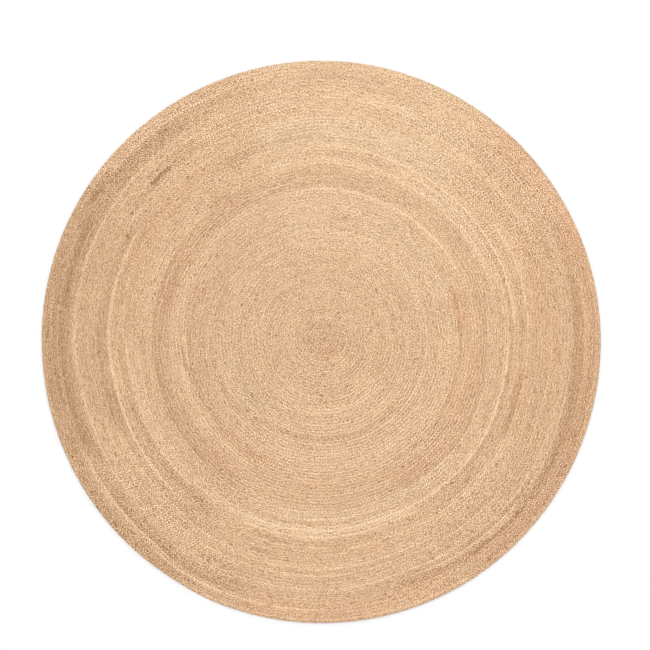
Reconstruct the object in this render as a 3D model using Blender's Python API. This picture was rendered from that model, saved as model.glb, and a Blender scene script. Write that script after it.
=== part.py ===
"""Round braided jute rug, lying flat, as one solid.

The rug is one long flat braid of three jute strands. It is coiled clockwise, seen from above,
from an eye in the middle, and each turn is sewn to the turn inside it. Sewn up it is one flat
piece, as thick as the braid, with the braid's rounded side as its edge. The rim is round but
coiled by hand, so it swells by a few millimetres, and it steps in where the braid's end is
tapered off and sewn down.

Metres, +Z up. The origin is in the middle of the underside, which lies on the ground.
Angles are in degrees, counter-clockwise from +X, seen from above.
"""

import math

import bmesh
import bpy

# Driving dimensions.
RUG_RADIUS = 1.000        # middle of the rug to its rim, on average
BRAID_THICKNESS = 0.009   # underside to the crowns of the strands
EDGE_ROUNDING = 0.0040    # how far the braid's rounded side reaches in, above and below

# The braid's outer end, where the last turn is sewn down on the turn inside it.
BRAID_END_ANGLE = 230.0   # the tip of the tapered end
BRAID_END_TAPER = 20.0    # the arc over which the end is tapered to its tip
BRAID_END_STEP = 0.006    # how much the rim steps in there

# Where hand coiling leaves the rim off a true circle: how many swells there are round the rim,
# how high each is in metres, and the angle of a crest.
RIM_SWELLS = (
    # name                      swells  height   crest
    ("coiled off centre",            1, 0.0022, 153.0),
    ("drawn out front to back",      2, 0.0025, 103.0),
    ("drawn to three corners",       3, 0.0003,  38.0),
    ("drawn to five corners",        5, 0.0005,  12.0),
)

RIM_COLUMNS = 240         # flats round the rim
ROUNDING_FLATS = 4        # flats across each rounded edge

JUTE_COLOUR = (0.72, 0.47, 0.29, 1.0)
JUTE_ROUGHNESS = 0.92

NODE_NAME = "coiled_braid"


def clear_scene() -> None:
    """Remove whatever the scene holds."""
    for old in list(bpy.data.objects):
        bpy.data.objects.remove(old, do_unlink=True)


def eased(share: float) -> float:
    """Return 0 to 1 for a share from 0 to 1, level at both ends."""
    held = min(max(share, 0.0), 1.0)
    return held * held * (3.0 - 2.0 * held)


def rim_radius(angle: float) -> float:
    """Return the distance from the middle of the coil to the rim at an angle."""
    radius = RUG_RADIUS
    for _name, swells, height, crest in RIM_SWELLS:
        radius += height * math.cos(swells * math.radians(angle - crest))
    behind_tip = (angle - BRAID_END_ANGLE) % 360.0
    radius += BRAID_END_STEP * (0.5 - behind_tip / 360.0)
    radius -= BRAID_END_STEP * (1.0 - eased(behind_tip / BRAID_END_TAPER))
    return radius


def rim_points() -> list[tuple[float, float]]:
    """Return the rim's corners, counter-clockwise, with their box centred on the origin."""
    corners = []
    for column in range(RIM_COLUMNS):
        angle = 360.0 * column / RIM_COLUMNS
        radius = rim_radius(angle)
        turn = math.radians(angle)
        corners.append((radius * math.cos(turn), radius * math.sin(turn)))
    across = [x for x, _y in corners]
    along = [y for _x, y in corners]
    middle_x = 0.5 * (min(across) + max(across))
    middle_y = 0.5 * (min(along) + max(along))
    return [(x - middle_x, y - middle_y) for x, y in corners]


def jute_material() -> bpy.types.Material:
    """Return the plain jute finish."""
    material = bpy.data.materials.new("jute")
    material.use_nodes = True
    shader = material.node_tree.nodes["Principled BSDF"]
    shader.inputs["Base Color"].default_value = JUTE_COLOUR
    shader.inputs["Roughness"].default_value = JUTE_ROUGHNESS
    shader.inputs["Metallic"].default_value = 0.0
    material.diffuse_color = JUTE_COLOUR
    return material


def rug_solid() -> bpy.types.Object:
    """Raise the rim's outline to the braid's thickness and round its edge over and under."""
    form = bmesh.new()
    corners = [form.verts.new((x, y, 0.0)) for x, y in rim_points()]
    sole = form.faces.new(corners)
    raised = bmesh.ops.extrude_face_region(form, geom=[sole])["geom"]
    lifted = [part for part in raised if isinstance(part, bmesh.types.BMVert)]
    bmesh.ops.translate(form, verts=lifted, vec=(0.0, 0.0, BRAID_THICKNESS))
    bmesh.ops.recalc_face_normals(form, faces=form.faces[:])

    half = 0.5 * BRAID_THICKNESS
    rim_edges = [edge for edge in form.edges
                 if abs(edge.verts[0].co.z - edge.verts[1].co.z) < half]
    bmesh.ops.bevel(form, geom=rim_edges, offset=EDGE_ROUNDING, segments=ROUNDING_FLATS,
                    profile=0.5, affect="EDGES", clamp_overlap=True)

    mesh = bpy.data.meshes.new(NODE_NAME)
    form.to_mesh(mesh)
    form.free()
    mesh.materials.append(jute_material())
    mesh.shade_smooth()
    mesh.set_sharp_from_angle(angle=math.radians(40.0))
    rug = bpy.data.objects.new(NODE_NAME, mesh)
    bpy.context.scene.collection.objects.link(rug)
    return rug


clear_scene()
rug_solid()
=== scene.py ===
"""Round braided jute rug: its looks.

The rug is one long flat braid of three jute strands. The braid is plaited in lengths, which are
joined end to end, coiled clockwise from the eye in the middle, and sewn turn to turn. Each length
is modelled strand over strand, from one repeat of the plait, and laid along the coil. Its yarn
is natural jute, so its tone changes from strand to strand and from one stretch to the next.

Everything is in metres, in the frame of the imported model: +Z up, the underside on the ground.
Angles are in degrees, counter-clockwise from +X, seen from above.
"""

from __future__ import annotations

import logging
import math
from dataclasses import dataclass, field
from enum import Enum

import bpy
import numpy as np
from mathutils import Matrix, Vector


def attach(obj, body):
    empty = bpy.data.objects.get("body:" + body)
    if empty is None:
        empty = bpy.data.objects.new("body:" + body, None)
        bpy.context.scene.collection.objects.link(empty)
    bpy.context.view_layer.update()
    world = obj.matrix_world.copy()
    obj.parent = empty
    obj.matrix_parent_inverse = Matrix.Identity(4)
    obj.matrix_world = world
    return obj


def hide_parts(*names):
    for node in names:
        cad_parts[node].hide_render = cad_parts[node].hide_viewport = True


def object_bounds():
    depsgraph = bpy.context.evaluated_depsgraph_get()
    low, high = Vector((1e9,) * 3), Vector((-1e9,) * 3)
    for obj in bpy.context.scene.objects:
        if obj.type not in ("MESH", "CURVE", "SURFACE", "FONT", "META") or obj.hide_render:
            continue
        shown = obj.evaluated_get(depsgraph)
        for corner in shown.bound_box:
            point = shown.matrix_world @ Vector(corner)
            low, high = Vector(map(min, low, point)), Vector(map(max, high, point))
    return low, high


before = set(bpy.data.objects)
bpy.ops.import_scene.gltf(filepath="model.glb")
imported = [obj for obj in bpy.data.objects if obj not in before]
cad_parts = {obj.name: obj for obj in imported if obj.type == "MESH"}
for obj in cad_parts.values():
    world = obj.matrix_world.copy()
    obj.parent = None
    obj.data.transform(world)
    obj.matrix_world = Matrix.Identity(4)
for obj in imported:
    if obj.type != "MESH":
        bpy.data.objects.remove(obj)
CAD_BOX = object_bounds()

NODE_NAME = "coiled_braid"
BODY_NAME = "root"

RNG_SEED = 20
STEP = 1.0 / 255.0  # one step of tone, as colours are counted on a screen
SPARE_LOBES = 8  # half lobes that are shaded past the braid's end

log = logging.getLogger("jute_rug")

Points = np.ndarray


def deselect_all() -> None:
    """Leave nothing selected, neither an object nor what the last primitive left behind."""
    if bpy.context.object and bpy.context.object.mode != "OBJECT":
        bpy.ops.object.mode_set(mode="OBJECT")
    bpy.ops.object.select_all(action="DESELECT")


def eased(share: Points) -> Points:
    """Return shares held to 0 to 1 and eased, so that they are level at both ends.

    Args:
        share: The shares to ease.

    Returns:
        The eased shares.
    """
    held = np.clip(share, 0.0, 1.0)
    return held * held * (3.0 - 2.0 * held)


def drifting(count: int, spacing: float, rng: np.random.Generator) -> Points:
    """Return a value for each of a row of places, drifting at random about 0.

    Args:
        count: How many places there are.
        spacing: How many places lie between one random value and the next.
        rng: The source of the random values.

    Returns:
        The values, with a spread of about 1.
    """
    knots = rng.normal(size=int(count / spacing) + 3)
    place = np.arange(count) / spacing
    low = np.floor(place).astype(int)
    blend = eased(place - low)
    return knots[low] * (1.0 - blend) + knots[low + 1] * blend


def linear(level: float) -> float:
    """Return the light that a colour's level on a screen stands for.

    Args:
        level: The level, from 0 to 1.

    Returns:
        The light, from 0 to 1.
    """
    if level <= 0.04045:
        return level / 12.92
    return ((level + 0.055) / 1.055) ** 2.4


def at_angle(angle: Points, knots: tuple[tuple[float, float], ...]) -> Points:
    """Read a value that changes round the rug.

    Args:
        angle: Where to read it.
        knots: Angles with the value at each, in rising order within one turn.

    Returns:
        The value at each angle, eased from knot to knot and closed round the turn.
    """
    first, last = knots[0], knots[-1]
    ring = [(last[0] - 360.0, last[1]), *knots, (first[0] + 360.0, first[1])]
    places = np.array([knot[0] for knot in ring])
    values = np.array([knot[1] for knot in ring])
    turned = np.asarray(angle) % 360.0
    low = np.clip(np.searchsorted(places, turned, side="right") - 1, 0, len(ring) - 2)
    share = (turned - places[low]) / (places[low + 1] - places[low])
    return values[low] + (values[low + 1] - values[low]) * eased(share)


class Side(Enum):
    """The two sides of the braid, by the sign of the place across it."""

    OUTER = 1
    INNER = -1


class Cast(Enum):
    """Which way a stretch of yarn leans in hue, from green-grey to red."""

    ASH = -1.0
    STONE = -0.5
    PLAIN = 0.0
    BISCUIT = 0.5
    RUSSET = 1.0


@dataclass(frozen=True)
class Braid:
    """The flat three-strand braid before it is coiled, and how it is cut into lengths."""

    thickness: float = 0.009
    inner_width: float = 0.0112  # the braid of the middle of the rug
    outer_width: float = 0.0122  # the thicker braid used further out
    change_radius: float = 0.60  # where one follows the other
    change_over: float = 0.05  # the distance over which the braid thickens
    inner_lobe: float = 0.0097  # from one strand's crossing on a side to the next
    outer_lobe: float = 0.0111
    outer_fullness: float = 0.19  # how much higher the thicker braid's sides stand
    strands: int = 3
    lengths: int = 10
    sweep_back: float = 1.25  # how far the strands lean back towards the sides, in half lobes

    def outward(self, radius: Points) -> Points:
        """Return 0 at a radius where the inner braid lies and 1 further out, eased between."""
        return eased((radius - self.change_radius) / self.change_over + 0.5)

    def lobe_length(self, radius: Points) -> Points:
        """Return the length of a lobe at a radius of the coil."""
        return self.inner_lobe + (self.outer_lobe - self.inner_lobe) * self.outward(radius)


@dataclass
class Coil:
    """The coil's path: how the turns lie, and where hand coiling leaves them uneven."""

    braid: Braid
    rug_radius: float = 1.000
    end_angle: float = 230.0  # the tip of the braid's tapered outer end
    end_taper: float = 20.0  # the arc over which the end is tapered
    end_step: float = 0.006  # how much the rim steps in there
    tip_width: float = 0.0025
    tip_tuck: float = 0.0019  # how far the tip is tucked in under the side of the turn inside
    tip_lift: float = 0.20  # how much of the braid's thickness the tip keeps by that
    thinnest: float = 0.35  # how thick the braid is where it is drawn to nothing, as a share
    eye_start: float = 0.35  # how far from the middle the braid starts, in braid widths
    eye_offset: tuple[float, float] = (0.009, 0.011)  # the eye isn't quite in the middle
    eye_radius: float = 0.0004  # no strand comes nearer the middle of the eye
    eye_pace: float = 0.2  # how slowly the strands turn in ahead of the braid's start
    press: float = 1.045  # each turn is pressed a little into its neighbours
    places: int = 60001  # how many places along the coil its course is worked out at
    rim_places: int = 721  # the same, for the last turn

    # Where the rim leaves a true circle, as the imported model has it: swells, height, crest.
    rim_swells: tuple[tuple[float, float, float], ...] = (
        (1, 0.0022, 153.0),
        (2, 0.0025, 103.0),
        (3, 0.0003, 38.0),
        (5, 0.0005, 12.0),
    )
    # Where the outer turns bulge out (+) or are drawn in (-): angle, metres.
    bulges: tuple[tuple[float, float], ...] = (
        (0.0, -0.0055),
        (10.0, -0.0005),
        (24.0, 0.0065),
        (36.0, 0.0005),
        (68.0, -0.0020),
        (90.0, 0.0105),
        (103.0, -0.0010),
        (150.0, 0.0010),
        (180.0, 0.0010),
        (191.0, -0.0090),
        (228.0, -0.0065),
        (240.0, 0.0075),
        (270.0, 0.0065),
        (291.0, -0.0085),
        (303.0, -0.0015),
        (322.0, 0.0035),
        (330.0, 0.0015),
        (342.0, -0.0075),
    )
    bulges_from: float = 0.35  # the radius where they begin to show
    bulges_full: float = 0.84
    bulges_fade: float = 0.93  # from here they fade out to the rim
    turns: float = field(init=False)
    middle: tuple[float, float] = field(init=False, default=(0.0, 0.0))
    # The coil's course, place by place: turns made, half lobes plaited, metres of braid.
    turn_course: Points = field(init=False, repr=False)
    lobe_course: Points = field(init=False, repr=False)
    run_course: Points = field(init=False, repr=False)

    def __post_init__(self) -> None:
        """Work out the number of turns, the coil's course, and where the middle lies."""
        inner_turns = self.braid.change_radius / self.braid.inner_width - self.eye_start
        rest = self.rug_radius - 0.5 * self.end_step - self.braid.change_radius
        self.turns = inner_turns + rest / self.braid.outer_width + 1.0
        self.plot_course()
        rim = self.rim()
        low, high = rim.min(axis=0), rim.max(axis=0)
        cad_low, cad_high = (np.array(corner[:2]) for corner in CAD_BOX)
        self.middle = tuple(0.5 * (cad_low + cad_high) - 0.5 * (low + high))

    def plot_course(self) -> None:
        """Follow the coil from the eye to the rim, counting half lobes and metres of braid."""
        self.turn_course = np.linspace(0.0, self.turns, self.places)
        step = np.diff(self.turn_course)
        centreline = 0.5 * (self.reach(self.turn_course) + self.reach(self.turn_course - 1.0))
        pace = 2.0 * math.pi * centreline / (0.5 * self.braid.lobe_length(centreline))
        lobes = 0.5 * (pace[1:] + pace[:-1]) * step
        self.lobe_course = np.concatenate([[0.0], np.cumsum(lobes)])
        share = 2 * self.braid.lengths
        self.lobe_course *= share * round(self.lobe_course[-1] / share) / self.lobe_course[-1]
        run = 2.0 * math.pi * 0.5 * (centreline[1:] + centreline[:-1]) * step
        self.run_course = np.concatenate([[0.0], np.cumsum(run)])

    def reach(self, turn: Points) -> Points:
        """Return the radius of a turn's outer side, before the coil's unevenness.

        The side of the turn inside it is the reach one turn earlier.

        Args:
            turn: How many turns the coil has made, counted from the braid's start.

        Returns:
            The radius there.
        """
        braid = self.braid
        inner = braid.inner_width * (turn + self.eye_start)
        change = braid.change_radius / braid.inner_width - self.eye_start
        outer = braid.change_radius + braid.outer_width * (turn - change)
        last = self.rug_radius + self.end_step * (0.5 - (self.turns - turn))
        radius = np.where(turn < change, inner, np.where(turn < self.turns - 1.0, outer, last))
        return np.maximum(radius, 0.0)

    def angle(self, turn: Points) -> Points:
        """Return the angle that the coil has come to after a number of turns."""
        return self.end_angle + 360.0 * (self.turns - turn)

    def half_lobes(self) -> int:
        """Return how many half lobes the whole braid has, the same in every length."""
        return round(self.lobe_course[-1])

    def turn_at(self, half_lobe: Points) -> Points:
        """Return how many turns the coil has made at places along the braid.

        Args:
            half_lobe: How far along the braid they are, in half lobes. They may lie a little
                ahead of its start or past its end.

        Returns:
            The turns at each place.
        """
        turns, lobes = self.turn_course, self.lobe_course
        before = np.minimum(half_lobe, 0.0) * turns[1] / lobes[1]
        beyond = np.maximum(half_lobe - lobes[-1], 0.0)
        last_pace = (turns[-1] - turns[-2]) / (lobes[-1] - lobes[-2])
        made = np.interp(half_lobe, lobes, turns)
        return made + self.eye_pace * before + beyond * last_pace

    def run_at(self, half_lobe: Points) -> Points:
        """Return how many metres of braid come before a place along it."""
        return np.interp(half_lobe, self.lobe_course, self.run_course)

    def swell(self, angle: Points) -> Points:
        """Return how far the rim stands off a true circle.

        Args:
            angle: The angle to look at.

        Returns:
            How far outside the circle it is there.
        """
        off = np.zeros_like(np.asarray(angle, float))
        for swells, height, crest in self.rim_swells:
            off = off + height * np.cos(swells * np.radians(angle - crest))
        return off

    def bulge(self, radius: Points, angle: Points) -> Points:
        """Return how far the turns are pushed out or drawn in.

        Args:
            radius: The radius to look at, in the even coil.
            angle: The angle to look at.

        Returns:
            How far out of their even place they lie there.
        """
        grown = (radius - self.bulges_from) / (self.bulges_full - self.bulges_from)
        faded = (self.rug_radius - radius) / (self.rug_radius - self.bulges_fade)
        return at_angle(angle, self.bulges) * np.clip(grown, 0.0, 1.0) * eased(faded)

    def plan(self, radius: Points, angle: Points) -> Points:
        """Lay places on the rug, with all the coil's unevenness.

        Args:
            radius: Their radius in an even coil.
            angle: Their angle.

        Returns:
            Their x and y, one row each.
        """
        share = radius / self.rug_radius
        laid = radius + self.swell(angle) * share**2 + self.bulge(radius, angle)
        turned = np.radians(angle)
        x = self.middle[0] + self.eye_offset[0] * (1.0 - share) + laid * np.cos(turned)
        y = self.middle[1] + self.eye_offset[1] * (1.0 - share) + laid * np.sin(turned)
        return np.stack([x, y], axis=-1)

    def rim(self) -> Points:
        """Return places all round the rim, one row each."""
        turn = np.linspace(self.turns - 1.0, self.turns, self.rim_places)
        return self.plan(self.outer_side(turn), self.angle(turn))

    def outer_side(self, turn: Points) -> Points:
        """Return the radius of the braid's outer side, drawn in where its end is tapered.

        Args:
            turn: How many turns the coil has made.

        Returns:
            The radius there.
        """
        behind_tip = 360.0 * (self.turns - turn)
        drawn_in = self.end_step * (1.0 - eased(behind_tip / self.end_taper))
        return np.maximum(self.reach(turn) - drawn_in, self.reach(turn - 1.0) + self.tip_width)

    def lay(self, half_lobe: Points, across: Points, height: Points) -> Points:
        """Lay places on the straight braid along the coil.

        Args:
            half_lobe: How far along the braid they are, in half lobes.
            across: How far across it, from -1 at its inner side to 1 at its outer side.
            height: How high above its underside, as a share of its thickness.

        Returns:
            Their x, y and z, one row each.
        """
        turn = self.turn_at(half_lobe)
        outer = self.outer_side(turn)
        inner = self.reach(turn - 1.0)
        half_width = 0.5 * (outer - inner)
        full = np.clip(2.0 * half_width / self.braid.inner_width, 0.0, 1.0)
        ending = (1.0 - full) * (turn > self.turns - 1.0)
        radius = 0.5 * (outer + inner) + across * half_width * self.press
        radius -= self.tip_tuck * ending
        plan = self.plan(np.maximum(radius, self.eye_radius), self.angle(turn))
        fullness = self.thinnest + (1.0 - self.thinnest) * full + self.tip_lift * ending
        z = height * self.braid.thickness * fullness
        return np.concatenate([plan, z[:, None]], axis=1)


@dataclass(frozen=True)
class Stretch:
    """A stretch of the braid that is paler or darker, or leans in hue."""

    turn: float  # which turn it starts on, by the radius of that turn at angle 0
    start: float  # the angle where it starts
    sweep: float  # how far it runs, counter-clockwise and so inwards
    turns: float  # how many turns wide it is
    tone: float  # how much paler, in steps; darker is negative
    cast: Cast = Cast.PLAIN


@dataclass
class YarnShades:
    """The tone and cast of the yarn, lobe by lobe along the whole braid.

    Tones are in steps, and the lengths over which they drift are in half lobes.
    """

    coil: Coil
    strand_spread: float = 2.9  # how far the three strands differ in tone
    strand_drift: float = 15.0
    strand_long_drift: float = 110.0
    lobe_spread: float = 3.2  # how far one crossing differs from the next
    lot_spread: float = 1.1  # how far one metre differs from the next
    outer_lots: float = 1.3  # the same, for the thicker braid
    lot_drift: float = 90.0
    lot_long_drift: float = 420.0
    long_share: float = 0.8  # how strong a long drift is beside a short one
    outer_tone: float = -2.6  # the thicker braid's own tone
    fleck_share: float = 0.03  # how many lobes hold a scrap of dark bark
    fleck_tone: float = -26.0
    fleck_range: tuple[float, float] = (0.4, 1.3)  # the faintest and darkest of them
    cast_spread: float = 0.12
    cast_drift: float = 300.0
    strand_cast_drift: float = 60.0
    chart_strength: float = 0.92  # how much of a charted tone the yarn takes
    side_fade: float = 0.35  # how far a stretch fades at its sides, in turns
    end_fade: float = 4.0  # how far it fades at its ends, in degrees
    broad_end_fade: float = 9.0
    broad_from: float = 2.4  # how many turns wide a broad stretch is, at least
    longest_fade: float = 0.3  # the longest fade, as a share of the stretch's sweep
    tone: Points = field(init=False, repr=False)
    cast: Points = field(init=False, repr=False)

    # Broad parts of the rug, paler, darker or leaning in hue: paler over the top, darker in parts
    # of the outer turns, most at the left.
    broad: tuple[Stretch, ...] = (
        # turn  start  sweep turns  tone  cast
        Stretch(0.012, 0.0, 360.0, 2.6, -4.0),
        Stretch(0.036, 0.0, 360.0, 6.4, -6.5, Cast.BISCUIT),
        Stretch(0.110, 18.0, 42.0, 7.0, 1.0, Cast.STONE),
        Stretch(0.072, 268.0, 46.0, 3.0, -4.0, Cast.RUSSET),
        Stretch(0.225, 320.0, 46.0, 4.5, -2.0, Cast.BISCUIT),
        Stretch(0.325, 175.0, 60.0, 5.0, -3.0, Cast.STONE),
        Stretch(0.395, 212.0, 24.0, 3.5, -3.0, Cast.STONE),
        Stretch(0.062, 236.0, 110.0, 4.0, -5.0),
        Stretch(0.140, 316.0, 50.0, 8.0, -4.0),
        Stretch(0.280, 40.0, 70.0, 12.0, 3.0),
        Stretch(0.285, 226.0, 104.0, 13.0, 4.0),
        Stretch(0.445, 15.0, 98.0, 19.0, 6.5, Cast.STONE),
        Stretch(0.445, 236.0, 140.0, 12.0, 5.0),
        Stretch(0.450, 118.0, 98.0, 9.0, -3.0),
        Stretch(0.545, 216.0, 200.0, 7.0, 0.0, Cast.BISCUIT),
        Stretch(0.485, 150.0, 110.0, 4.0, -3.0, Cast.BISCUIT),
        Stretch(0.520, 0.0, 40.0, 7.0, -3.0, Cast.BISCUIT),
        Stretch(0.582, 112.0, 132.0, 5.6, -8.0, Cast.BISCUIT),
        Stretch(0.575, 288.0, 74.0, 5.0, -5.0, Cast.BISCUIT),
        Stretch(0.628, 242.0, 80.0, 3.2, 7.0, Cast.STONE),
        Stretch(0.682, 178.0, 124.0, 3.6, 7.0, Cast.STONE),
        Stretch(0.655, 300.0, 60.0, 6.0, 2.5),
        Stretch(0.658, 22.0, 90.0, 6.4, 3.0, Cast.STONE),
        Stretch(0.720, 0.0, 44.0, 3.4, -2.0, Cast.BISCUIT),
        Stretch(0.742, 16.0, 42.0, 6.4, 5.0),
        Stretch(0.749, 48.0, 64.0, 8.4, 9.5, Cast.ASH),
        Stretch(0.752, 62.0, 34.0, 4.0, 3.0, Cast.STONE),
        Stretch(0.900, 47.0, 63.0, 16.6, 8.0, Cast.STONE),
        Stretch(0.730, 116.0, 60.0, 5.0, -3.0, Cast.BISCUIT),
        Stretch(0.766, 138.0, 52.0, 5.0, -8.0),
        Stretch(0.770, 190.0, 56.0, 5.0, -8.0),
        Stretch(0.722, 176.0, 66.0, 2.6, -11.0, Cast.BISCUIT),
        Stretch(0.748, 236.0, 92.0, 8.0, 1.5, Cast.BISCUIT),
        Stretch(0.755, 328.0, 44.0, 6.0, -5.0, Cast.BISCUIT),
        Stretch(0.778, 0.0, 43.0, 3.6, -4.0, Cast.BISCUIT),
        Stretch(0.790, 144.0, 64.0, 2.8, -11.0),
        Stretch(0.847, 118.0, 88.0, 6.0, -9.0),
        Stretch(0.845, 204.0, 54.0, 6.0, -5.0),
        Stretch(0.866, 204.0, 38.0, 3.0, 4.0, Cast.STONE),
        Stretch(0.850, 316.0, 76.0, 6.0, -5.0, Cast.BISCUIT),
        Stretch(0.900, 200.0, 66.0, 16.0, 0.0, Cast.BISCUIT),
        Stretch(0.966, 14.0, 42.0, 6.0, 0.0, Cast.RUSSET),
        Stretch(0.862, 242.0, 62.0, 3.0, 2.0),
        Stretch(0.928, 118.0, 92.0, 4.6, -20.0),
        Stretch(0.930, 60.0, 68.0, 4.6, -5.5),
        Stretch(0.845, 92.0, 28.0, 5.0, -2.0),
        Stretch(0.926, 204.0, 54.0, 4.0, -11.0),
        Stretch(0.981, 140.0, 104.0, 4.2, -15.0),
        Stretch(0.975, 156.0, 46.0, 3.0, -7.0),
        Stretch(0.967, 250.0, 52.0, 5.6, 2.0, Cast.RUSSET),
        Stretch(0.967, 300.0, 56.0, 5.6, -9.0, Cast.RUSSET),
        Stretch(0.930, 316.0, 62.0, 4.0, -8.0),
        Stretch(0.972, 330.0, 34.0, 4.0, -8.0),
        Stretch(0.966, 350.0, 40.0, 6.0, -9.0, Cast.RUSSET),
    )
    # Single turns that stand out.
    marked: tuple[Stretch, ...] = (
        # turn  start  sweep turns  tone  cast
        Stretch(0.083, 60.0, 62.0, 1.6, 9.0, Cast.STONE),
        Stretch(0.267, 254.0, 68.0, 1.6, 8.0),
        Stretch(0.358, 238.0, 82.0, 1.0, -13.0),
        Stretch(0.389, 148.0, 17.0, 1.2, -15.0),
        Stretch(0.383, 160.0, 32.0, 1.2, -9.0),
        Stretch(0.480, 172.0, 80.0, 1.0, -9.0, Cast.BISCUIT),
        Stretch(0.493, 177.0, 15.0, 1.0, 13.0),
        Stretch(0.508, 180.0, 14.0, 1.1, -18.0),
        Stretch(0.522, 188.0, 56.0, 1.1, 11.0),
        Stretch(0.505, 298.0, 88.0, 1.0, -11.0, Cast.BISCUIT),
        Stretch(0.543, 24.0, 78.0, 1.0, 12.0),
        Stretch(0.558, 60.0, 54.0, 1.0, -10.0),
        Stretch(0.578, 147.0, 24.0, 1.2, -11.0, Cast.BISCUIT),
        Stretch(0.608, 146.0, 22.0, 1.8, -9.0),
        Stretch(0.612, 184.0, 44.0, 1.2, -8.0),
        Stretch(0.608, 298.0, 52.0, 1.2, -9.0),
        Stretch(0.639, 14.0, 96.0, 1.2, 13.0),
        Stretch(0.648, 150.0, 30.0, 1.0, 8.0),
        Stretch(0.651, 86.0, 22.0, 1.0, 7.0),
        Stretch(0.641, 170.0, 20.0, 1.0, -10.0),
        Stretch(0.646, 262.0, 26.0, 1.0, 9.0),
        Stretch(0.679, 244.0, 184.0, 1.0, 15.0),
        Stretch(0.689, 306.0, 92.0, 1.0, -15.0, Cast.BISCUIT),
        Stretch(0.690, 4.0, 90.0, 1.2, 12.0),
        Stretch(0.706, 179.0, 50.0, 1.0, 15.0),
        Stretch(0.703, 243.0, 58.0, 1.5, 15.0),
        Stretch(0.730, 87.0, 22.0, 1.0, -14.0),
        Stretch(0.726, 107.0, 13.0, 2.0, -11.0),
        Stretch(0.753, 274.0, 122.0, 1.1, 12.0),
        Stretch(0.769, 146.0, 84.0, 1.1, 16.0),
        Stretch(0.803, 168.0, 38.0, 1.2, -13.0),
        Stretch(0.811, 202.0, 100.0, 1.1, 11.0),
        Stretch(0.839, 198.0, 218.0, 1.0, 9.0),
        Stretch(0.861, 108.0, 44.0, 1.0, 8.0),
        Stretch(0.876, 64.0, 19.0, 2.6, 7.0),
        Stretch(0.890, 253.0, 50.0, 1.0, 8.0),
        Stretch(0.900, 302.0, 28.0, 1.3, -10.0, Cast.STONE),
        Stretch(0.911, 294.0, 56.0, 1.0, 10.0),
        Stretch(0.929, 316.0, 74.0, 1.4, -15.0),
        Stretch(0.930, 285.0, 26.0, 1.7, -12.0, Cast.RUSSET),
        Stretch(0.937, 303.0, 18.0, 1.4, -17.0, Cast.BISCUIT),
        Stretch(0.929, 149.0, 25.0, 1.8, -18.0),
        Stretch(0.934, 172.0, 36.0, 1.4, -11.0),
        Stretch(0.935, 214.0, 24.0, 1.2, -13.0),
        Stretch(0.955, 204.0, 32.0, 1.1, 14.0),
        Stretch(0.962, 230.0, 41.0, 1.3, 14.0, Cast.BISCUIT),
        Stretch(0.955, 98.0, 38.0, 2.0, 5.0),
        Stretch(0.974, 168.0, 14.0, 1.0, 9.0),
    )
    # Scraps of bark and knots of dark fibre, a few crossings long.
    scraps: tuple[Stretch, ...] = (
        # turn  start  sweep turns  tone  cast
        Stretch(0.040, 222.0, 22.0, 1.1, -14.0),
        Stretch(0.062, 178.0, 15.0, 1.2, -30.0),
        Stretch(0.068, 208.0, 18.0, 1.1, -18.0),
        Stretch(0.077, 124.0, 15.0, 1.1, -20.0),
        Stretch(0.083, 328.0, 24.0, 1.1, -17.0),
        Stretch(0.084, 242.0, 15.0, 1.1, -10.0),
        Stretch(0.118, 104.0, 18.0, 1.1, -9.0),
        Stretch(0.124, 44.0, 24.0, 1.3, -9.0),
        Stretch(0.140, 262.0, 12.0, 1.4, -24.0),
        Stretch(0.135, 338.0, 14.0, 1.1, -10.0),
        Stretch(0.226, 126.0, 26.0, 1.3, -11.0),
        Stretch(0.258, 27.0, 7.0, 1.2, -13.0),
        Stretch(0.308, 229.0, 18.0, 1.1, -12.0),
        Stretch(0.312, 18.0, 24.0, 1.1, -8.0),
        Stretch(0.330, 122.0, 20.0, 1.2, -9.0),
        Stretch(0.330, 334.0, 24.0, 1.4, -8.0),
        Stretch(0.437, 76.0, 12.0, 1.1, -14.0),
        Stretch(0.492, 0.0, 22.0, 1.2, -8.0, Cast.BISCUIT),
        Stretch(0.567, 204.0, 20.0, 1.1, -10.0),
        Stretch(0.574, 299.0, 21.0, 1.5, -7.0, Cast.RUSSET),
        Stretch(0.577, 2.0, 20.0, 1.3, -8.0),
        Stretch(0.625, 120.5, 9.0, 1.4, -16.0, Cast.BISCUIT),
        Stretch(0.660, 260.0, 14.0, 1.5, -1.0, Cast.RUSSET),
        Stretch(0.692, 110.0, 10.0, 3.0, -7.0),
        Stretch(0.702, 168.0, 11.0, 2.4, -7.0, Cast.RUSSET),
        Stretch(0.727, 249.0, 10.0, 1.2, -13.0),
        Stretch(0.724, 307.0, 14.0, 2.0, -7.0),
        Stretch(0.742, 330.0, 23.0, 1.7, -19.0, Cast.BISCUIT),
        Stretch(0.780, 188.0, 14.0, 1.5, -13.0),
        Stretch(0.780, 249.0, 9.0, 1.2, -15.0),
        Stretch(0.825, 298.0, 24.0, 1.1, -9.0),
        Stretch(0.827, 129.5, 9.0, 1.4, -38.0, Cast.BISCUIT),
        Stretch(0.858, 18.0, 12.0, 1.3, -9.0),
        Stretch(0.875, 244.0, 10.0, 1.2, -10.0),
        Stretch(0.939, 237.0, 15.0, 1.1, -10.0),
        Stretch(0.966, 139.0, 12.0, 1.5, -26.0, Cast.RUSSET),
        Stretch(0.966, 184.0, 10.0, 1.3, -12.0),
        Stretch(0.968, 199.0, 9.0, 1.3, -9.0),
    )

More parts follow.
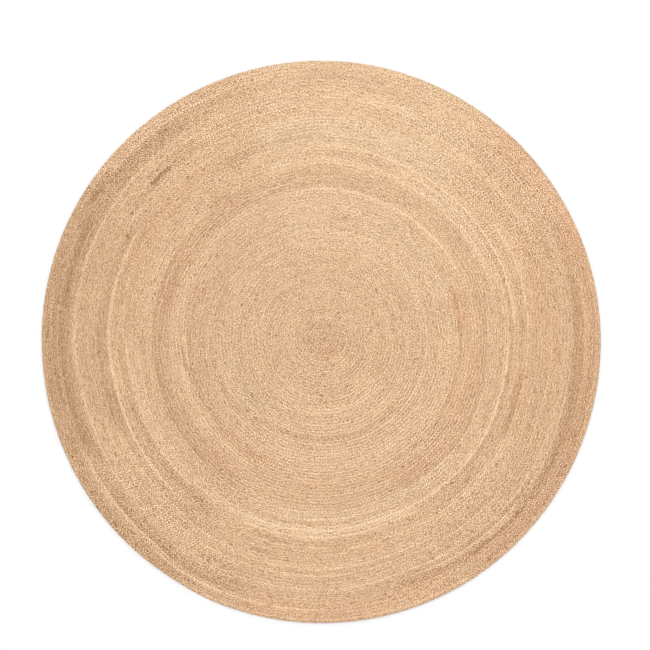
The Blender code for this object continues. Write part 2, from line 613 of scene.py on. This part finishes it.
    def __post_init__(self) -> None:
        """Work out every lobe's tone and cast: the yarn's own, then the charted stretches."""
        count = self.coil.half_lobes() + SPARE_LOBES
        turn = self.coil.turn_at(np.arange(count, dtype=float))
        radius = 0.5 * (self.coil.reach(turn) + self.coil.reach(turn - 1.0))
        angle = self.coil.angle(turn) % 360.0
        self.spin_yarn(count, self.coil.braid.outward(radius))
        for stretch in (*self.broad, *self.marked, *self.scraps):
            share = self.share_of(stretch, radius, angle)
            self.tone += self.chart_strength * stretch.tone * share
            self.cast += stretch.cast.value * share

    def spin_yarn(self, count: int, outward: Points) -> None:
        """Give the yarn the unevenness that any jute has, along its strands and at random.

        Args:
            count: How many half lobes there are.
            outward: How far each is in the thicker braid, from 0 to 1.
        """
        rng = np.random.default_rng(RNG_SEED)
        lots = self.lot_spread + (self.outer_lots - self.lot_spread) * outward
        self.tone = lots * drifting(count, self.lot_drift, rng) + self.outer_tone * outward
        self.tone += self.long_share * lots * drifting(count, self.lot_long_drift, rng)
        self.cast = self.cast_spread * drifting(count, self.cast_drift, rng)
        strands = self.coil.braid.strands
        strand = np.arange(count) % strands
        for which in range(strands):
            runs = drifting(count, self.strand_drift, rng)
            runs = runs + self.long_share * drifting(count, self.strand_long_drift, rng)
            casts = drifting(count, self.strand_cast_drift, rng)
            self.tone += np.where(strand == which, self.strand_spread * runs, 0.0)
            self.cast += np.where(strand == which, self.cast_spread * casts, 0.0)
        self.tone += self.lobe_spread * rng.normal(size=count)
        flecked = rng.uniform(size=count) < self.fleck_share
        flecks = self.fleck_tone * rng.uniform(*self.fleck_range, size=count)
        self.tone += np.where(flecked, flecks, 0.0)

    def share_of(self, stretch: Stretch, radius: Points, angle: Points) -> Points:
        """Return how much of a stretch's tone the lobes have.

        Args:
            stretch: The stretch.
            radius: Each lobe's radius in the even coil.
            angle: Each lobe's angle, from 0 to 360.

        Returns:
            For each lobe a share, 1 in the stretch and eased to 0 at its ends and sides.
        """
        braid = self.coil.braid
        width = np.where(radius < braid.change_radius, braid.inner_width, braid.outer_width)
        first = stretch.turn - width * stretch.start / 360.0
        ahead = (angle - stretch.start) % 360.0
        off = np.abs(radius - (first - width * ahead / 360.0)) / width
        inside = 0.5 * stretch.turns + self.side_fade - off
        beside = eased(inside / (2.0 * self.side_fade))
        if stretch.sweep >= 360.0:
            return beside
        fade = self.broad_end_fade if stretch.turns > self.broad_from else self.end_fade
        fade = min(fade, self.longest_fade * stretch.sweep)
        along = eased(ahead / fade) * eased((stretch.sweep - ahead) / fade)
        return beside * along


@dataclass
class Wiring:
    """Adds the nodes of one material, and joins them."""

    tree: bpy.types.NodeTree

    def add(self, kind: str, **settings: object) -> bpy.types.Node:
        """Add a node.

        Args:
            kind: The node's type.
            **settings: What to set on it.

        Returns:
            The node.
        """
        made = self.tree.nodes.new(kind)
        for name, value in settings.items():
            setattr(made, name, value)
        return made

    def feed(self, value: object, socket: bpy.types.NodeSocket) -> None:
        """Feed a socket from another socket, or set it to a value.

        Args:
            value: The socket or the value.
            socket: The socket to feed.
        """
        if isinstance(value, bpy.types.NodeSocket):
            self.tree.links.new(value, socket)
        else:
            socket.default_value = value

    def maths(self, operation: str, first: object, second: object = 0.0,
              third: object = 0.0) -> bpy.types.NodeSocket:
        """Add one step of arithmetic.

        Args:
            operation: The Math node's operation.
            first: What it works on, a socket or a number.
            second: The same.
            third: The same.

        Returns:
            The result.
        """
        made = self.add("ShaderNodeMath", operation=operation)
        for value, socket in zip((first, second, third), made.inputs):
            self.feed(value, socket)
        return made.outputs[0]

    def spread(self, value: object, steps: float) -> bpy.types.NodeSocket:
        """Return a value from 0 to 1 as so many steps to either side of 0."""
        return self.maths("MULTIPLY", self.maths("SUBTRACT", value, 0.5), 2.0 * steps)

    def ramped(self, value: object, low: float, high: float) -> bpy.types.NodeSocket:
        """Ease a value from 0 to 1.

        Args:
            value: The value, a socket.
            low: Where the result leaves 0.
            high: Where it comes to 1.

        Returns:
            The result.
        """
        made = self.add("ShaderNodeMapRange", interpolation_type="SMOOTHSTEP")
        self.feed(value, made.inputs["Value"])
        made.inputs["From Min"].default_value = low
        made.inputs["From Max"].default_value = high
        return made.outputs["Result"]

    def stretched(self, places: bpy.types.NodeSocket, scale: tuple[float, float],
                  lean: float = 0.0) -> bpy.types.NodeSocket:
        """Stretch a map of places.

        Args:
            places: The map.
            scale: How many times finer it is made along and across.
            lean: How far it is turned, in degrees.

        Returns:
            The stretched map.
        """
        made = self.add("ShaderNodeMapping")
        self.feed(places, made.inputs["Vector"])
        made.inputs["Rotation"].default_value = (0.0, 0.0, math.radians(lean))
        made.inputs["Scale"].default_value = (*scale, 1.0)
        return made.outputs["Vector"]

    def noise(self, places: bpy.types.NodeSocket, layers: tuple[float, float],
              dimensions: str = "2D", scale: float = 1.0) -> bpy.types.NodeSocket:
        """Add soft noise.

        Args:
            places: Where each value lies.
            layers: How many finer layers it has, and how strong they are.
            dimensions: Whether it is flat or in the round.
            scale: How fine the noise is.

        Returns:
            The noise, from 0 to 1.
        """
        made = self.add("ShaderNodeTexNoise", noise_dimensions=dimensions)
        made.inputs["Scale"].default_value = scale
        made.inputs["Detail"].default_value = layers[0]
        made.inputs["Roughness"].default_value = layers[1]
        self.feed(places, made.inputs["Vector"])
        return made.outputs["Fac"]


@dataclass(frozen=True)
class JuteFinish:
    """Undyed jute yarn: matt, fibrous, straw to biscuit brown, with painted shade where it dips
    under and painted light in the grooves between turns.
    """

    middle: tuple[float, float, float] = (0.7710, 0.6315, 0.4969)  # as on a screen
    dark_steps: float = 85.0  # how many steps the ramp runs down and up
    pale_steps: float = 66.0
    ramp_stops: tuple[float, ...] = (-35.0, 0.0, 22.0)
    fibre_steps: float = 90.0  # how far single fibres differ
    fibre_scale: tuple[float, float] = (5.2, 1.6)  # to a lobe, and to half the width
    fibre_lean: float = 14.0  # they lie a little askew to the strand, from its twist
    fibre_layers: tuple[float, float] = (3.0, 0.65)  # how many finer layers, and how strong
    tuft_steps: float = 152.0  # how far tufts of them differ
    tuft_scale: tuple[float, float] = (3.1, 1.9)
    tuft_layers: tuple[float, float] = (1.0, 0.5)
    cloud_steps: float = 3.0  # how far the whole rug differs from place to place
    cloud_scale: float = 9.0
    cloud_layers: tuple[float, float] = (2.0, 0.5)
    valley_shade_steps: float = 35.0  # painted shade: how much darker the yarn is painted in the valleys where it dips under
    valley_shade_from: float = 0.55  # how far off a lobe's crown the painted shade begins
    groove_span: tuple[float, float] = (0.68, 1.02)  # where across the braid its side falls
    inner_groove_light: float = 26.0  # painted light: how much paler the grooves between turns are painted, against the shade that falls in them
    outer_groove_light: float = 40.0  # the same painted light, for the thicker braid
    outer_calm: float = 0.18  # how much evener the thicker braid's yarn is
    cast_tint: tuple[float, float, float] = (0.021, -0.016, -0.020)
    roughness: float = 0.92
    gloss: float = 0.25
    sheen: float = 0.12
    sheen_roughness: float = 0.45
    fibre_relief: float = 0.00035
    relief_strength: float = 0.8
    strand_rounding: float = 1.6  # how deep the strands' own rounding is beside the fibres

    def colour(self, steps: float) -> tuple[float, float, float, float]:
        """Return the yarn's colour at a tone.

        Args:
            steps: The tone, in steps from the middle.

        Returns:
            Red, green and blue as light, and full opacity.
        """
        red, green, blue = (
            linear(min(max(level + steps * STEP, 0.0), 1.0)) for level in self.middle)
        return red, green, blue, 1.0

    def build(self) -> bpy.types.Material:
        """Make the jute's material.

        Returns:
            The material. It reads the lobes' tone and cast from the mesh, and its fibres
            follow the strands.
        """
        material = bpy.data.materials.new("jute_yarn")
        material.use_nodes = True
        shader = material.node_tree.nodes["Principled BSDF"]
        shader.inputs["Roughness"].default_value = self.roughness
        shader.inputs["Specular IOR Level"].default_value = self.gloss
        shader.inputs["Sheen Weight"].default_value = self.sheen
        shader.inputs["Sheen Roughness"].default_value = self.sheen_roughness

        wiring = Wiring(material.node_tree)
        strand = wiring.add("ShaderNodeUVMap", uv_map="Plait").outputs["UV"]
        split = wiring.add("ShaderNodeSeparateXYZ")
        wiring.feed(strand, split.inputs["Vector"])
        off_crown = self.off_crown(wiring, split.outputs["X"], split.outputs["Y"])
        askew = wiring.stretched(strand, self.fibre_scale, self.fibre_lean)
        fibres = wiring.noise(askew, self.fibre_layers)
        tufts = wiring.noise(wiring.stretched(strand, self.tuft_scale), self.tuft_layers)
        steps = self.tone(wiring, split.outputs["Y"], off_crown, fibres, tufts)
        wiring.feed(self.tinted(wiring, steps), shader.inputs["Base Color"])
        wiring.feed(self.relief(wiring, off_crown, fibres), shader.inputs["Normal"])
        return material

    def off_crown(self, wiring: Wiring, along: bpy.types.NodeSocket,
                  across: bpy.types.NodeSocket) -> bpy.types.NodeSocket:
        """Find where on its strand a place is.

        Args:
            wiring: The material's wiring.
            along: The place along the braid, in lobes.
            across: The place across it.

        Returns:
            0 on the crown of a lobe, 1 in the valley beside it.
        """
        shifted = wiring.maths("MULTIPLY_ADD", wiring.maths("LESS_THAN", across, 0.0), 0.5, along)
        turned = wiring.maths("FRACT", wiring.maths("ADD", shifted, 0.5))
        lobe = wiring.maths("SUBTRACT", turned, 0.5)
        return wiring.maths("MULTIPLY", wiring.maths("ABSOLUTE", lobe), 2.0)

    def tone(self, wiring: Wiring, across: bpy.types.NodeSocket, off_crown: bpy.types.NodeSocket,
             fibres: bpy.types.NodeSocket, tufts: bpy.types.NodeSocket) -> bpy.types.NodeSocket:
        """Add up the yarn's tone: its lobe's, its fibres', the painted shade in the valleys
        between lobes and the painted light in the grooves between turns.

        Args:
            wiring: The material's wiring.
            across: The place across the braid.
            off_crown: The place on its strand.
            fibres: The fibres' noise.
            tufts: The tufts' noise.

        Returns:
            The tone, in steps.
        """
        maths = wiring.maths
        lobe = wiring.add("ShaderNodeAttribute", attribute_name="tone").outputs["Fac"]
        outward = wiring.add("ShaderNodeAttribute", attribute_name="outward").outputs["Fac"]
        place = wiring.add("ShaderNodeTexCoord").outputs["Object"]
        cloud = wiring.noise(place, self.cloud_layers, "3D", self.cloud_scale)
        yarn = maths("ADD", wiring.spread(fibres, self.fibre_steps),
                     wiring.spread(tufts, self.tuft_steps))
        # painted shade: the yarn is darkened in the valleys beside each lobe's crown
        valley = wiring.ramped(off_crown, self.valley_shade_from, 1.0)
        grain_and_valley_shade = maths("MULTIPLY_ADD", valley, -self.valley_shade_steps, yarn)
        evened = maths("MULTIPLY", grain_and_valley_shade, maths("MULTIPLY_ADD", outward, -self.outer_calm, 1.0))
        # painted light: the grooves between turns are painted paler, against their shade
        groove = wiring.ramped(maths("ABSOLUTE", across), *self.groove_span)
        groove_light_steps = maths("MULTIPLY_ADD", outward, self.outer_groove_light - self.inner_groove_light, self.inner_groove_light)
        grooved = maths("MULTIPLY", groove, groove_light_steps)
        broad = maths("ADD", lobe, wiring.spread(cloud, self.cloud_steps))
        return maths("ADD", broad, maths("ADD", evened, grooved))

    def tinted(self, wiring: Wiring, steps: bpy.types.NodeSocket) -> bpy.types.NodeSocket:
        """Turn a tone into colour, redder or greener by the lobe's cast.

        Args:
            wiring: The material's wiring.
            steps: The tone, in steps.

        Returns:
            The colour.
        """
        ramp_at = wiring.add("ShaderNodeMapRange")
        wiring.feed(steps, ramp_at.inputs["Value"])
        ramp_at.inputs["From Min"].default_value = -self.dark_steps
        ramp_at.inputs["From Max"].default_value = self.pale_steps
        ramp = wiring.add("ShaderNodeValToRGB")
        wiring.feed(ramp_at.outputs["Result"], ramp.inputs["Fac"])
        stops = ramp.color_ramp.elements
        stops[0].color = self.colour(-self.dark_steps)
        stops[1].color = self.colour(self.pale_steps)
        for at in self.ramp_stops:
            stop = stops.new((at + self.dark_steps) / (self.dark_steps + self.pale_steps))
            stop.color = self.colour(at)

        cast = wiring.add("ShaderNodeAttribute", attribute_name="cast").outputs["Fac"]
        hue = wiring.add("ShaderNodeCombineXYZ")
        for tint, socket in zip(self.cast_tint, hue.inputs):
            wiring.feed(wiring.maths("MULTIPLY_ADD", cast, tint, 1.0), socket)
        tinted = wiring.add("ShaderNodeVectorMath", operation="MULTIPLY")
        wiring.feed(ramp.outputs["Color"], tinted.inputs[0])
        wiring.feed(hue.outputs["Vector"], tinted.inputs[1])
        return tinted.outputs["Vector"]

    def relief(self, wiring: Wiring, off_crown: bpy.types.NodeSocket,
               fibres: bpy.types.NodeSocket) -> bpy.types.NodeSocket:
        """Raise the fibres on the strands, and round the strands into their valleys.

        Args:
            wiring: The material's wiring.
            off_crown: The place on its strand.
            fibres: The fibres' noise.

        Returns:
            The shading direction.
        """
        dip = wiring.maths("MULTIPLY", off_crown, off_crown)
        bump = wiring.add("ShaderNodeBump")
        bump.inputs["Strength"].default_value = self.relief_strength
        bump.inputs["Distance"].default_value = self.fibre_relief
        height = wiring.maths("MULTIPLY_ADD", dip, -self.strand_rounding, fibres)
        wiring.feed(height, bump.inputs["Height"])
        return bump.outputs["Normal"]


@dataclass
class Plait:
    """One repeat of the plait, straight along +X: a strand crossing on each side."""

    half_lobe: float = 0.005  # the straight braid's own half lobe and half width
    half_width: float = 0.0056
    sides: int = 8

    # The points of one side of the section: where each is round the tube of eight flats, its
    # place across and height on a strand's crown, and the same in the valley beside it.
    section: tuple[tuple[float, float, float, float, float], ...] = (
        # round  crown: across, height  valley: across, height
        (22.5, 0.80, 0.95, 0.74, 0.68),  # shoulder
        (67.5, 0.26, 1.00, 0.24, 0.78),  # middle
        (-67.5, 0.58, 0.00, 0.54, 0.05),  # sole
        (-22.5, 1.05, 0.76, 0.99, 0.62),  # edge
    )

    def over_crowns(self) -> float:
        """Return the braid's width over its strands' crowns, as a share of its place's width."""
        return max(crown for _round, crown, *_rest in self.section)

    def build(self, braid: Braid) -> bpy.types.Object:
        """Model the repeat from a tube of eight flats, moving its points one by one.

        Args:
            braid: The braid, for its thickness and its strands' lean.

        Returns:
            The repeat, one lobe long, with three rings of points and open ends.
        """
        deselect_all()
        length = 2.0 * self.half_lobe
        bpy.ops.mesh.primitive_cylinder_add(
            vertices=self.sides, radius=self.half_width, depth=length,
            end_fill_type="NOTHING", location=(self.half_lobe, 0.0, 0.0),
            rotation=(math.pi / self.sides, math.radians(90.0), 0.0))
        repeat = bpy.context.object
        repeat.name = "plait_repeat"
        bpy.ops.object.transform_apply(location=True, rotation=True, scale=True)
        bpy.ops.object.mode_set(mode="EDIT")
        bpy.ops.mesh.select_all(action="SELECT")
        bpy.ops.mesh.bisect(plane_co=(self.half_lobe, 0.0, 0.0), plane_no=(1.0, 0.0, 0.0))
        bpy.ops.object.mode_set(mode="OBJECT")
        for point in repeat.data.vertices:
            self.shape(point, braid)
        return repeat

    def shape(self, point: bpy.types.MeshVertex, braid: Braid) -> None:
        """Move one point of the tube to its place on the braid's section.

        Args:
            point: The point.
            braid: The braid.
        """
        column = round(point.co.x / self.half_lobe)
        side = Side.OUTER if point.co.y > 0.0 else Side.INNER
        turned = math.degrees(math.atan2(point.co.z, abs(point.co.y)))
        _round, crown_across, crown_height, valley_across, valley_height = min(
            self.section, key=lambda place: abs(place[0] - turned))
        on_crown = (column % 2 == 0) == (side is Side.OUTER)
        across = crown_across if on_crown else valley_across
        height = crown_height if on_crown else valley_height
        point.co.x = (column - braid.sweep_back * across) * self.half_lobe
        point.co.y = side.value * across * self.half_width
        point.co.z = height * braid.thickness


@dataclass
class FaceCorners:
    """The corners of a mesh's faces, face by face."""

    mesh: bpy.types.Mesh
    corner: Points = field(init=False, repr=False)  # the point at each corner
    first: Points = field(init=False, repr=False)  # each face's first corner
    count: Points = field(init=False, repr=False)  # how many corners each face has

    def __post_init__(self) -> None:
        """Read the corners from the mesh."""
        self.corner = np.empty(len(self.mesh.loops), dtype=np.int32)
        self.mesh.loops.foreach_get("vertex_index", self.corner)
        self.first = np.empty(len(self.mesh.polygons), dtype=np.int32)
        self.count = np.empty(len(self.mesh.polygons), dtype=np.int32)
        self.mesh.polygons.foreach_get("loop_start", self.first)
        self.mesh.polygons.foreach_get("loop_total", self.count)

    def least(self, values: Points) -> Points:
        """Find the least value that each face touches.

        Args:
            values: A value for each point of the mesh.

        Returns:
            For each corner, the least value at any corner of its face.
        """
        return np.repeat(np.minimum.reduceat(values[self.corner], self.first), self.count)


@dataclass
class CoiledBraid:
    """All the braid, in its lengths, plaited, coiled and dressed."""

    braid: Braid
    coil: Coil
    shades: YarnShades
    finish: JuteFinish
    plait: Plait = field(default_factory=Plait)
    bulk_spread: float = 0.05  # how much one lobe stands higher than the next
    side_spread: float = 0.05  # how much one lobe stands out further than the next
    weld: float = 0.00005  # how near two repeats' points are joined
    edge_from: float = 0.8  # how far across the braid its edges begin
    under_below: float = 0.3  # the height, as a share, below which a point is on the sole
    top_share: float = 0.78  # how much of its strip on the map a length's top takes
    map_margin: float = 0.004  # what is left free beside the map, and between its strips
    strip_margin: float = 0.04
    strip_shape: float = 3.0  # how much longer than high a lobe's place on the map is
    sole_across: float = 0.56  # how far across the sole's points lie
    sole_round: float = 0.35  # where they lie on the way round, to either side of the middle
    width_places: int = 200  # how many places a length's width is measured at
    bulk: Points = field(init=False, repr=False)
    spread: Points = field(init=False, repr=False)

    def build(self) -> list[bpy.types.Object]:
        """Make every length of the braid.

        Returns:
            The lengths, from the eye outwards.
        """
        rng = np.random.default_rng(RNG_SEED + 1)
        count = self.coil.half_lobes() + SPARE_LOBES
        self.bulk = 1.0 + self.bulk_spread * np.clip(rng.normal(size=count), -2.0, 2.0)
        self.spread = 1.0 + self.side_spread * np.clip(rng.normal(size=count), -2.0, 2.0)
        material = self.finish.build()
        straight = self.straight_length()
        straight.data.materials.append(material)
        made = []
        for which in range(self.braid.lengths):
            length = straight.copy()
            length.data = straight.data.copy()
            length.name = length.data.name = f"braid_length_{which + 1:02d}"
            bpy.context.collection.objects.link(length)
            self.coil_up(length, self.starts_at(which))
            made.append(length)
        bpy.data.objects.remove(straight, do_unlink=True)
        return made

    def lobes_each(self) -> int:
        """Return how many lobes each length has."""
        return self.coil.half_lobes() // (2 * self.braid.lengths)

    def starts_at(self, which: int) -> int:
        """Return the half lobe that a length starts at."""
        return 2 * self.lobes_each() * which

    def straight_length(self) -> bpy.types.Object:
        """Run the plait's repeat on to one straight length, and close its ends.

        Returns:
            The straight length.
        """
        length = self.plait.build(self.braid)
        length.name = "straight_length"
        bpy.ops.object.modifier_add(type="ARRAY")
        run = length.modifiers[-1]
        run.use_relative_offset = False
        run.use_constant_offset = True
        run.constant_offset_displace = (2.0 * self.plait.half_lobe, 0.0, 0.0)
        run.count = self.lobes_each()
        run.use_merge_vertices = True
        run.merge_threshold = self.weld
        bpy.ops.object.modifier_apply(modifier=run.name)
        bpy.ops.object.mode_set(mode="EDIT")
        bpy.ops.mesh.select_all(action="SELECT")
        bpy.ops.mesh.fill_holes(sides=self.plait.sides)
        bpy.ops.mesh.normals_make_consistent(inside=False)
        bpy.ops.object.mode_set(mode="OBJECT")
        return length

    def coil_up(self, length: bpy.types.Object, first: int) -> None:
        """Lay a straight length along the coil, and note its lobes' shades and its maps.

        Args:
            length: The straight length.
            first: The half lobe that it starts at, counted along the whole braid.
        """
        mesh = length.data
        places = np.empty(len(mesh.vertices) * 3)
        mesh.vertices.foreach_get("co", places)
        places = places.reshape(-1, 3)
        across = places[:, 1] / self.plait.half_width
        column = np.rint(places[:, 0] / self.plait.half_lobe
                         + self.braid.sweep_back * np.abs(across))
        place = places[:, 0] / self.plait.half_lobe + first
        height = places[:, 2] / self.braid.thickness
        crown = self.crown_of(column + first, across)
        edge = np.abs(across) > self.edge_from
        height = height + edge * self.braid.outer_fullness * self.outward_at(place)
        spread = np.where(edge, self.spread[crown], 1.0)
        laid = self.coil.lay(place, across * spread, height * self.bulk[crown])
        laid[:, 2] = np.clip(laid[:, 2], 0.0, self.braid.thickness)
        mesh.vertices.foreach_set("co", laid.ravel())
        mesh.shade_smooth()
        self.note_shades(mesh, column, across, first)
        self.note_maps(mesh, column, across, height)
        mesh.update()

    def crown_of(self, column: Points, across: Points) -> Points:
        """Return the lobe whose crown is at or beside each place.

        Args:
            column: The half lobe of each place.
            across: Its place across the braid.

        Returns:
            The lobe's number, even on the outer side and odd on the inner side.
        """
        whole = column.astype(int)
        odd_side = (across < 0.0).astype(int)
        return whole + (whole + odd_side) % 2

    def outward_at(self, place: Points) -> Points:
        """Return 0 at places along the braid where it is the inner braid, and 1 further out."""
        return self.braid.outward(self.coil.reach(self.coil.turn_at(place)))

    def note_shades(self, mesh: bpy.types.Mesh, column: Points, across: Points,
                    first: int) -> None:
        """Write the lobes' tones and casts on a length, and where the thicker braid is.

        Args:
            mesh: The length's mesh.
            column: Each point's half lobe, counted from the length's start.
            across: Each point's place across the braid.
            first: The half lobe that the length starts at.
        """
        faces = FaceCorners(mesh)
        low = faces.least(column)
        lobe = self.crown_of(low + first, across[faces.corner])
        for name, values in (("tone", self.shades.tone[lobe]),
                             ("cast", self.shades.cast[lobe]),
                             ("outward", self.outward_at(column[faces.corner] + first))):
            noted = mesh.attributes.new(name, "FLOAT", "CORNER")
            noted.data.foreach_set("value", values.astype(np.float32))

    def note_maps(self, mesh: bpy.types.Mesh, column: Points, across: Points,
                  height: Points) -> None:
        """Write two maps on a length: one along its strands, and one to bake its colour on.

        Args:
            mesh: The length's mesh.
            column: Each point's half lobe, counted from the length's start.
            across: Each point's place across the braid.
            height: Each point's height, as a share of the thickness.
        """
        faces = FaceCorners(mesh)
        side = across[faces.corner]
        plait = mesh.uv_layers.new(name="Plait")
        strand = np.stack([0.5 * column[faces.corner], side], axis=1)
        plait.uv.foreach_set("vector", strand.astype(np.float32).ravel())

        # The way round the section: -1 to 1 over the top, and on to 3 under the sole.
        under = height < self.under_below
        beneath = faces.least(np.where(under, 0.0, 1.0)) < 0.5
        under = under[faces.corner]
        sole = 2.0 - side / self.sole_across * self.sole_round
        round_it = np.where(under, sole, side)
        round_it = np.where(beneath & ~under, np.where(side > 0.0, 1.0, 3.0), round_it)

        # The bake's map: the length in strips, one over another.
        columns = int(column.max()) + 1
        across_map = math.ceil(math.sqrt(self.strip_shape * columns))
        rows = math.ceil(columns / across_map)
        row = np.floor(faces.least(column) / across_map)
        along = (column[faces.corner] - row * across_map) / across_map
        u = self.map_margin + (1.0 - 2.0 * self.map_margin) * along
        over = 0.5 * (round_it + 1.0) * self.top_share
        left = 1.0 - 2.0 * self.strip_margin - self.top_share
        v = np.where(round_it <= 1.0, over, self.top_share + 0.5 * (round_it - 1.0) * left)
        v = (row + self.strip_margin + v) / rows
        bake = mesh.uv_layers.new(name="OFBake")
        bake.uv.foreach_set("vector", np.stack([u, v], axis=1).astype(np.float32).ravel())
        mesh.uv_layers.active = plait

    def declare(self, lengths: list[bpy.types.Object]) -> None:
        """Hang each length on the rug's body, and hide the imported coiled braid.

        Args:
            lengths: The lengths.
        """
        for which, length in enumerate(lengths):
            first = self.starts_at(which)
            last = first + 2 * self.lobes_each()
            runs = self.coil.run_at(np.array([first, last]))
            turns = self.coil.turn_at(np.linspace(first, last, self.width_places))
            widths = self.coil.outer_side(turns) - self.coil.reach(turns - 1.0)
            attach(length, BODY_NAME)
            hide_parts(NODE_NAME)
            width = float(widths.mean()) * self.coil.press * self.plait.over_crowns()


@dataclass
class Studio:
    """The plain floor, the soft light and the camera."""

    floor_size: float = 24.0
    floor_drop: float = 0.0003  # how far below the rug the floor lies, so that they don't flicker
    floor_tone: float = 0.66
    floor_roughness: float = 0.9
    floor_gloss: float = 0.1
    camera_height: float = 3.228
    camera_place: tuple[float, float] = (0.013, 0.0608)
    lens: float = 50.0
    sensor: float = 36.0
    sky: float = 1.31
    key_place: tuple[float, float, float] = (0.4, 2.8, 4.8)
    key_size: float = 3.6
    key_power: float = 119.0

    def floor(self) -> bpy.types.Object:
        """Lay the floor and return it."""
        deselect_all()
        bpy.ops.mesh.primitive_plane_add(
            size=self.floor_size, location=(0.0, 0.0, -self.floor_drop))
        floor = bpy.context.object
        floor.name = "studio_floor"
        material = bpy.data.materials.new("studio_white")
        material.use_nodes = True
        shader = material.node_tree.nodes["Principled BSDF"]
        shader.inputs["Base Color"].default_value = (*[self.floor_tone] * 3, 1.0)
        shader.inputs["Roughness"].default_value = self.floor_roughness
        shader.inputs["Specular IOR Level"].default_value = self.floor_gloss
        floor.data.materials.append(material)
        return floor

    def lights(self) -> None:
        """Hang the soft light and fill the room with pale light."""
        self.softbox("key_light", self.key_place, self.key_size, self.key_power)
        world = bpy.data.worlds.new("pale_room")
        world.use_nodes = True
        back = world.node_tree.nodes["Background"]
        back.inputs["Color"].default_value = (1.0, 1.0, 1.0, 1.0)
        back.inputs["Strength"].default_value = self.sky
        bpy.context.scene.world = world

    def softbox(self, name: str, place: tuple[float, float, float], size: float,
                power: float) -> None:
        """Hang one square soft light, turned to the middle of the rug.

        Args:
            name: Its name.
            place: Where it hangs.
            size: The length of its side.
            power: Its power, in watts.
        """
        deselect_all()
        bpy.ops.object.light_add(type="AREA", location=place)
        lamp = bpy.context.object
        lamp.name = name
        lamp.data.shape = "SQUARE"
        lamp.data.size = size
        lamp.data.energy = power
        x, y, z = place
        lean = math.atan2(math.hypot(x, y), z)
        lamp.rotation_euler = (lean, 0.0, math.atan2(-x, y) + math.pi)

    def camera(self) -> None:
        """Hang the camera straight above the rug, looking down."""
        deselect_all()
        bpy.ops.object.camera_add(
            location=(*self.camera_place, self.camera_height), rotation=(0.0, 0.0, 0.0))
        camera = bpy.context.object
        camera.name = "overhead_camera"
        camera.data.lens = self.lens
        camera.data.sensor_width = self.sensor
        bpy.context.scene.camera = camera
        scene = bpy.context.scene
        scene.view_settings.view_transform = "Standard"
        scene.view_settings.look = "None"


def main() -> None:
    """Build the rug and the studio, and log the coil and the lengths' triangles."""
    logging.basicConfig(level=logging.INFO, format="%(name)s: %(message)s")
    studio = Studio()
    studio.camera()
    floor = studio.floor()
    studio.lights()
    braid = Braid()
    coil = Coil(braid)
    log.info("coil: %.1f turns, %.1f m of braid", coil.turns, float(coil.run_course[-1]))
    rug = CoiledBraid(braid, coil, YarnShades(coil), JuteFinish())
    lengths = rug.build()
    rug.declare(lengths)
    triangles = sum(len(face.vertices) - 2 for piece in lengths for face in piece.data.polygons)
    log.info("%d lengths, %d triangles", len(lengths), triangles)


if __name__ == "__main__":
    main()
